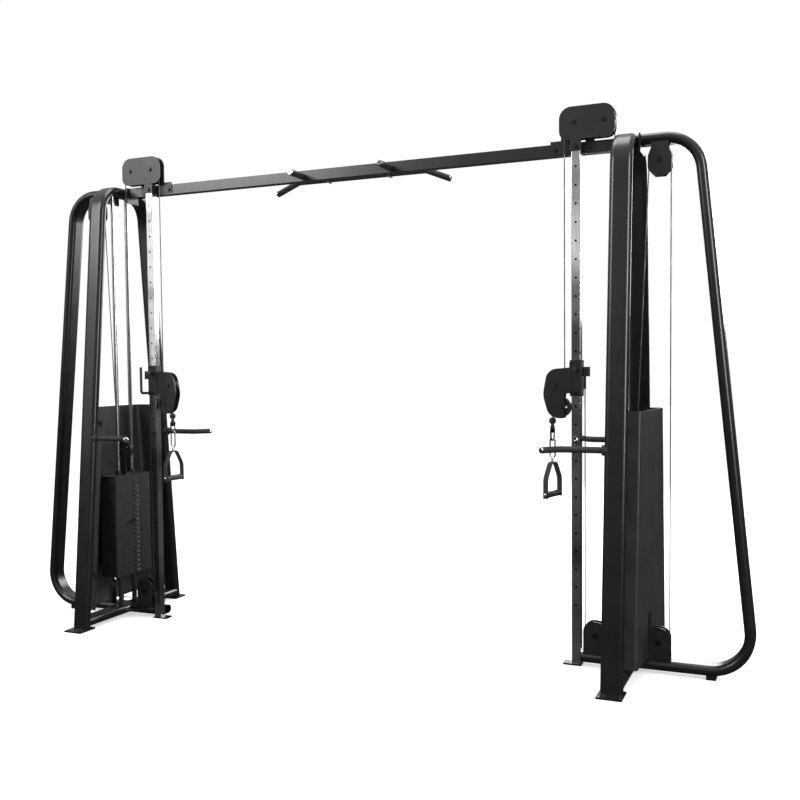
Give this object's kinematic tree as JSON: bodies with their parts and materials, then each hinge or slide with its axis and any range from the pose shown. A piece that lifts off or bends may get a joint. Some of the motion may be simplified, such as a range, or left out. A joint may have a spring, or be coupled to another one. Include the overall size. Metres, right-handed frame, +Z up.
{
  "type": "cable crossover machine",
  "caption": "Free-standing cable crossover: two weight-stack towers with sliding cable carriages, joined by a high beam with pull-up bars.",
  "frame": {"origin": "on the floor, midway between the towers, in the plane of the outer loops", "axes": "+X along the beam, +Y to the back, +Z up; the carriages and front pull-up grips face -Y"},
  "size_m": [3.7504, 0.896, 2.447],
  "materials": {
    "frame_paint": "fine textured black powder coat",
    "plate_paint": "satin dark graphite paint",
    "shroud_paint": "smooth satin blue-grey paint",
    "black_hardware": "black oxide, satin",
    "chrome": "bright chrome plate",
    "cast_iron": "black enamelled",
    "rubber": "matt",
    "rubber_grip": "matt, fine grain",
    "cable_jacket": "clear-dark nylon jacket over steel rope",
    "pulley_nylon": "black glass-filled nylon"
  },
  "bodies": {
    "root": {"top_beam": "frame_paint", "pull_up_bars": "frame_paint", "chrome_end_caps": "chrome", "frame_bolts": "black_hardware", "frame_brackets": "plate_paint", "foot_plates": "plate_paint", "base_cross_tubes": "frame_paint", "guide_rails": "chrome", "crown_housings": "plate_paint", "guide_rods": "chrome", "stack_bumpers": "rubber", "resting_weights": "cast_iron", "storage_pegs": "rubber_grip", "fixed_cable_runs": "cable_jacket", "pulley_axles": "black_hardware", "left_a_frame": "frame_paint", "left_outer_loop": "frame_paint", "left_stack_shroud": "shroud_paint", "right_a_frame": "frame_paint", "right_outer_loop": "frame_paint", "right_stack_shroud": "shroud_paint", "left_stack_cable": "cable_jacket", "left_carriage_upper_cable": "cable_jacket", "left_carriage_lower_cable": "cable_jacket", "right_stack_cable": "cable_jacket", "right_carriage_upper_cable": "cable_jacket", "right_carriage_lower_cable": "cable_jacket"},
    "left_carriage": {"left_carriage": "plate_paint", "left_carriage_tail_cable": "cable_jacket"},
    "left_pull_pin": {"left_pull_pin": "black_hardware"},
    "left_hook": {"left_snap_hook": "black_hardware"},
    "left_handle": {"left_d_handle": "black_hardware"},
    "left_grip": {"left_handle_grip": "rubber_grip"},
    "left_lifted_stack": {"left_lifted_stack": "cast_iron"},
    "left_selector_pin": {"left_selector_pin": "chrome"},
    "left_stack_pulley": {"left_stack_pulley": "pulley_nylon"},
    "left_carriage_upper_pulley": {"left_carriage_upper_pulley": "pulley_nylon"},
    "left_carriage_lower_pulley": {"left_carriage_lower_pulley": "pulley_nylon"},
    "left_crown_inner_pulley": {"left_crown_inner_pulley": "pulley_nylon"},
    "left_crown_stack_pulley": {"left_crown_stack_pulley": "pulley_nylon"},
    "left_outer_top_pulley": {"left_outer_top_pulley": "pulley_nylon"},
    "left_base_inner_pulley": {"left_base_inner_pulley": "pulley_nylon"},
    "left_base_outer_pulley": {"left_base_outer_pulley": "pulley_nylon"},
    "right_carriage": {"right_carriage": "plate_paint", "right_carriage_tail_cable": "cable_jacket"},
    "right_pull_pin": {"right_pull_pin": "black_hardware"},
    "right_hook": {"right_snap_hook": "black_hardware"},
    "right_handle": {"right_d_handle": "black_hardware"},
    "right_grip": {"right_handle_grip": "rubber_grip"},
    "right_lifted_stack": {"right_lifted_stack": "cast_iron"},
    "right_selector_pin": {"right_selector_pin": "chrome"},
    "right_stack_pulley": {"right_stack_pulley": "pulley_nylon"},
    "right_carriage_upper_pulley": {"right_carriage_upper_pulley": "pulley_nylon"},
    "right_carriage_lower_pulley": {"right_carriage_lower_pulley": "pulley_nylon"},
    "right_crown_inner_pulley": {"right_crown_inner_pulley": "pulley_nylon"},
    "right_crown_stack_pulley": {"right_crown_stack_pulley": "pulley_nylon"},
    "right_outer_top_pulley": {"right_outer_top_pulley": "pulley_nylon"},
    "right_base_inner_pulley": {"right_base_inner_pulley": "pulley_nylon"},
    "right_base_outer_pulley": {"right_base_outer_pulley": "pulley_nylon"}
  },
  "joints": [
    {"name": "left_carriage_slide", "type": "slide", "parent": "root", "child": "left_carriage", "axis": [0, 0, 1], "range_m": [-0.64, 0.88], "deforming": ["left_carriage_upper_cable", "left_carriage_lower_cable"]},
    {"name": "left_pull_pin_slide", "type": "slide", "parent": "left_carriage", "child": "left_pull_pin", "axis": [0, -1, 0], "range_m": [0, 0.012], "stiffness_N_per_m": 600, "springref_m": -0.004},
    {"name": "left_stack_lift", "type": "slide", "parent": "root", "child": "left_lifted_stack", "axis": [0, 0, 1], "range_m": [0, 0.3], "deforming": ["left_stack_cable"]},
    {"name": "left_handle_pull", "type": "slide", "parent": "left_carriage", "child": "left_hook", "axis": [0, 0, -1], "range_m": [0, 0.6], "deforming": ["left_carriage_tail_cable"]},
    {"name": "left_handle_swing", "type": "hinge", "parent": "left_hook", "child": "left_handle", "pos_m": [-1.021, -0.02, 0.998], "axis": [0.0175, 0.9998, 0], "range_deg": [-75, 8]},
    {"name": "left_grip_spin", "type": "hinge", "parent": "left_handle", "child": "left_grip", "pos_m": [-1.021, -0.02, 0.758], "axis": [0.0175, 0.9998, 0], "continuous": true},
    {"name": "left_selector_slide", "type": "slide", "parent": "left_lifted_stack", "child": "left_selector_pin", "axis": [1, 0, 0], "range_m": [0, 0.09]},
    {"name": "left_crown_inner_pulley_spin", "type": "hinge", "parent": "root", "child": "left_crown_inner_pulley", "pos_m": [-1.121, -0.02, 2.38], "axis": [0, 1, 0], "range_deg": [-770, 770]},
    {"name": "left_crown_stack_pulley_spin", "type": "hinge", "parent": "root", "child": "left_crown_stack_pulley", "pos_m": [-1.25, -0.02, 2.38], "axis": [0, 1, 0], "range_deg": [-770, 770]},
    {"name": "left_stack_pulley_spin", "type": "hinge", "parent": "left_lifted_stack", "child": "left_stack_pulley", "pos_m": [-1.34, -0.02, 0.9], "axis": [0, 1, 0], "range_deg": [-388, 388]},
    {"name": "left_carriage_upper_pulley_spin", "type": "hinge", "parent": "left_carriage", "child": "left_carriage_upper_pulley", "pos_m": [-1.036, -0.02, 1.245], "axis": [0, 1, 0], "range_deg": [-865, 865]},
    {"name": "left_carriage_lower_pulley_spin", "type": "hinge", "parent": "left_carriage", "child": "left_carriage_lower_pulley", "pos_m": [-1.061, -0.02, 1.146], "axis": [0, 1, 0], "range_deg": [-865, 865]},
    {"name": "left_outer_top_pulley_spin", "type": "hinge", "parent": "root", "child": "left_outer_top_pulley", "pos_m": [-1.484, -0.02, 2.186], "axis": [0, 1, 0], "range_deg": [-1126, 1126]},
    {"name": "left_base_inner_pulley_spin", "type": "hinge", "parent": "root", "child": "left_base_inner_pulley", "pos_m": [-1.211, -0.02, 0.137], "axis": [0, 1, 0], "range_deg": [-1126, 1126]},
    {"name": "left_base_outer_pulley_spin", "type": "hinge", "parent": "root", "child": "left_base_outer_pulley", "pos_m": [-1.484, -0.02, 0.137], "axis": [0, 1, 0], "range_deg": [-1126, 1126]},
    {"name": "right_carriage_slide", "type": "slide", "parent": "root", "child": "right_carriage", "axis": [0, 0, 1], "range_m": [-0.64, 0.88], "deforming": ["right_carriage_upper_cable", "right_carriage_lower_cable"]},
    {"name": "right_pull_pin_slide", "type": "slide", "parent": "right_carriage", "child": "right_pull_pin", "axis": [0, -1, 0], "range_m": [0, 0.012], "stiffness_N_per_m": 600, "springref_m": -0.004},
    {"name": "right_stack_lift", "type": "slide", "parent": "root", "child": "right_lifted_stack", "axis": [0, 0, 1], "range_m": [0, 0.3], "deforming": ["right_stack_cable"]},
    {"name": "right_handle_pull", "type": "slide", "parent": "right_carriage", "child": "right_hook", "axis": [0, 0, -1], "range_m": [0, 0.6], "deforming": ["right_carriage_tail_cable"]},
    {"name": "right_handle_swing", "type": "hinge", "parent": "right_hook", "child": "right_handle", "pos_m": [1.021, -0.02, 0.998], "axis": [0.2079, 0.9781, 0], "range_deg": [-8, 75]},
    {"name": "right_grip_spin", "type": "hinge", "parent": "right_handle", "child": "right_grip", "pos_m": [1.021, -0.02, 0.758], "axis": [0.2079, 0.9781, 0], "continuous": true},
    {"name": "right_selector_slide", "type": "slide", "parent": "right_lifted_stack", "child": "right_selector_pin", "axis": [-1, 0, 0], "range_m": [0, 0.09]},
    {"name": "right_crown_inner_pulley_spin", "type": "hinge", "parent": "root", "child": "right_crown_inner_pulley", "pos_m": [1.121, -0.02, 2.38], "axis": [0, 1, 0], "range_deg": [-770, 770]},
    {"name": "right_crown_stack_pulley_spin", "type": "hinge", "parent": "root", "child": "right_crown_stack_pulley", "pos_m": [1.25, -0.02, 2.38], "axis": [0, 1, 0], "range_deg": [-770, 770]},
    {"name": "right_stack_pulley_spin", "type": "hinge", "parent": "right_lifted_stack", "child": "right_stack_pulley", "pos_m": [1.34, -0.02, 0.9], "axis": [0, 1, 0], "range_deg": [-388, 388]},
    {"name": "right_carriage_upper_pulley_spin", "type": "hinge", "parent": "right_carriage", "child": "right_carriage_upper_pulley", "pos_m": [1.036, -0.02, 1.245], "axis": [0, 1, 0], "range_deg": [-865, 865]},
    {"name": "right_carriage_lower_pulley_spin", "type": "hinge", "parent": "right_carriage", "child": "right_carriage_lower_pulley", "pos_m": [1.061, -0.02, 1.146], "axis": [0, 1, 0], "range_deg": [-865, 865]},
    {"name": "right_outer_top_pulley_spin", "type": "hinge", "parent": "root", "child": "right_outer_top_pulley", "pos_m": [1.484, -0.02, 2.186], "axis": [0, 1, 0], "range_deg": [-1126, 1126]},
    {"name": "right_base_inner_pulley_spin", "type": "hinge", "parent": "root", "child": "right_base_inner_pulley", "pos_m": [1.211, -0.02, 0.137], "axis": [0, 1, 0], "range_deg": [-1126, 1126]},
    {"name": "right_base_outer_pulley_spin", "type": "hinge", "parent": "root", "child": "right_base_outer_pulley", "pos_m": [1.484, -0.02, 0.137], "axis": [0, 1, 0], "range_deg": [-1126, 1126]}
  ],
  "couplings": [
    {"joint": "left_handle_pull", "follows": "left_stack_lift", "ratio": 2},
    {"joint": "left_crown_inner_pulley_spin", "follows": "left_stack_lift", "rad_per_m": 44.444},
    {"joint": "left_crown_stack_pulley_spin", "follows": "left_stack_lift", "rad_per_m": 44.444},
    {"joint": "left_carriage_upper_pulley_spin", "follows": "left_stack_lift", "rad_per_m": -50},
    {"joint": "left_carriage_lower_pulley_spin", "follows": "left_stack_lift", "rad_per_m": 50},
    {"joint": "left_stack_pulley_spin", "follows": "left_stack_lift", "rad_per_m": -22.222},
    {"joint": "left_base_inner_pulley_spin", "follows": "left_carriage_slide", "rad_per_m": -22.222},
    {"joint": "left_base_outer_pulley_spin", "follows": "left_carriage_slide", "rad_per_m": -22.222},
    {"joint": "left_outer_top_pulley_spin", "follows": "left_carriage_slide", "rad_per_m": -22.222},
    {"joint": "right_handle_pull", "follows": "right_stack_lift", "ratio": 2},
    {"joint": "right_crown_inner_pulley_spin", "follows": "right_stack_lift", "rad_per_m": -44.444},
    {"joint": "right_crown_stack_pulley_spin", "follows": "right_stack_lift", "rad_per_m": -44.444},
    {"joint": "right_carriage_upper_pulley_spin", "follows": "right_stack_lift", "rad_per_m": 50},
    {"joint": "right_carriage_lower_pulley_spin", "follows": "right_stack_lift", "rad_per_m": -50},
    {"joint": "right_stack_pulley_spin", "follows": "right_stack_lift", "rad_per_m": 22.222},
    {"joint": "right_base_inner_pulley_spin", "follows": "right_carriage_slide", "rad_per_m": 22.222},
    {"joint": "right_base_outer_pulley_spin", "follows": "right_carriage_slide", "rad_per_m": 22.222},
    {"joint": "right_outer_top_pulley_spin", "follows": "right_carriage_slide", "rad_per_m": 22.222}
  ]
}
